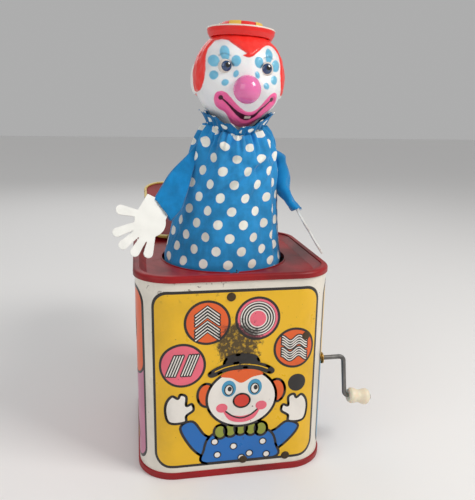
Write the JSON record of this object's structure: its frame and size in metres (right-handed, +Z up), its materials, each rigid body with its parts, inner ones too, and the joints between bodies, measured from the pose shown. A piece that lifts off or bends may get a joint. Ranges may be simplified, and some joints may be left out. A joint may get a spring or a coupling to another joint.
{
  "type": "jack in the box",
  "caption": "Square tin music box on its base with a side crank, an open hinged lid and a cloth-bodied clown standing up on its spring.",
  "frame": {"origin": "centre of the box's base, on the surface that it stands on", "axes": "+Z up, -Y out of the printed front, +X towards the crank"},
  "size_m": [0.1988, 0.2419, 0.3253],
  "materials": {
    "tin_red": "gloss enamel, worn",
    "tin_art": "printed tinplate, gloss, worn",
    "lid_red": "gloss enamel",
    "hem_yellow": "gloss enamel, rubbed",
    "steel": "dull zinc plated",
    "dark_steel": "dark, tarnished",
    "brass": "dull",
    "crank_steel": "dull grey wire",
    "ivory": "satin",
    "pinion_nylon": "satin",
    "face_white": "high gloss, painted",
    "hair_red": "gloss",
    "nose_pink": "gloss",
    "eye_blue": "high gloss",
    "teeth_white": "gloss",
    "hat_red": "gloss",
    "costume_cloth": "printed cotton",
    "sleeve_cloth": "plain cotton",
    "hand_vinyl": "sheet vinyl, matt"
  },
  "bodies": {
    "box": {"body_shell": "tin_art", "body_seam": "steel", "bottom_pan": "tin_red", "top_pan": "tin_red", "rivet_1": "dark_steel", "rivet_2": "dark_steel", "rivet_3": "dark_steel", "rivet_4": "dark_steel", "crank_bushing": "dark_steel", "mechanism_frame": "steel", "cheek_left": "steel", "cheek_right": "steel", "comb_base": "brass", "music_comb": "steel", "latch_bracket": "steel", "latch_pin": "dark_steel", "latch_spring": "dark_steel", "spring_seat": "steel", "hem_ring": "steel", "hinge_lugs_left": "steel", "hinge_lugs_right": "steel", "hinge_pin_left": "dark_steel", "hinge_pin_right": "dark_steel", "pop_spring": "dark_steel", "costume": "costume_cloth"},
    "lid": {"lid_pan": "lid_red", "lid_hem": "hem_yellow", "lid_leaf_left": "steel", "lid_leaf_right": "steel", "lid_catch": "steel"},
    "crank": {"crank_rod": "crank_steel", "crank_collar": "crank_steel", "crank_pinion": "pinion_nylon", "knob_cap": "dark_steel"},
    "knob": {"crank_knob": "ivory"},
    "drum": {"drum_axle": "dark_steel", "music_drum": "brass", "drum_gear": "brass", "release_cam": "dark_steel"},
    "latch": {"latch_lever": "dark_steel"},
    "jack": {"spring_clamp": "steel"},
    "head": {"neck_cap": "steel", "neck_plug": "face_white", "head_front": "face_white", "head_back": "hair_red", "eye_left": "eye_blue", "eye_right": "eye_blue", "nose": "nose_pink", "teeth": "teeth_white", "hat_brim": "hat_red", "hat_crown": "hat_red", "collar": "sleeve_cloth"},
    "left_arm": {"left_sleeve": "sleeve_cloth", "left_hand": "hand_vinyl"},
    "right_arm": {"right_sleeve": "sleeve_cloth", "right_hand": "hand_vinyl"}
  },
  "joints": [
    {"name": "crank_turn", "type": "hinge", "parent": "box", "child": "crank", "pos_m": [0.07, -0.048, 0.0785], "axis": [1, 0, 0], "continuous": true},
    {"name": "knob_spin", "type": "hinge", "parent": "crank", "child": "knob", "pos_m": [0.0912, -0.048, 0.045], "axis": [0.9877, 0, -0.1564], "continuous": true},
    {"name": "drum_turn", "type": "hinge", "parent": "box", "child": "drum", "pos_m": [0.03, -0.05, 0.06182], "axis": [1, 0, 0], "continuous": true},
    {"name": "latch_turn", "type": "hinge", "parent": "box", "child": "latch", "pos_m": [0, -0.0643, 0.118], "axis": [1, 0, 0], "range_deg": [-3.2, 0], "stiffness_Nm_per_rad": 0.03, "springref_deg": 8.59, "deforming": ["latch_spring"]},
    {"name": "jack_pop", "type": "slide", "parent": "box", "child": "jack", "axis": [0.0366, 0, 0.9993], "range_m": [-0.2, 0], "stiffness_N_per_m": 40, "springref_m": 0.03, "deforming": ["pop_spring", "costume", "left_sleeve", "left_hand", "right_sleeve", "right_hand"]},
    {"name": "lid_hinge", "type": "hinge", "parent": "box", "child": "lid", "pos_m": [0, 0.0579, 0.1539], "axis": [1, 0, 0], "range_deg": [0, 163]},
    {"name": "head_sway", "type": "hinge", "parent": "jack", "child": "head", "pos_m": [0.00861, 0, 0.23484], "axis": [0, 1, 0], "range_deg": [-8, 8], "stiffness_Nm_per_rad": 0.25},
    {"name": "left_arm_swing", "type": "hinge", "parent": "jack", "child": "left_arm", "pos_m": [-0.027, -0.008, 0.238], "axis": [0.2161, -0.8797, 0.4236], "range_deg": [-20, 15]},
    {"name": "right_arm_swing", "type": "hinge", "parent": "jack", "child": "right_arm", "pos_m": [0.041, -0.004, 0.232], "axis": [0, 1, 0], "range_deg": [-15, 5]}
  ],
  "couplings": [
    {"joint": "drum_turn", "follows": "crank_turn", "ratio": -0.5},
    {"joint": "lid_hinge", "follows": "jack_pop", "rad_per_m": -14.224}
  ]
}
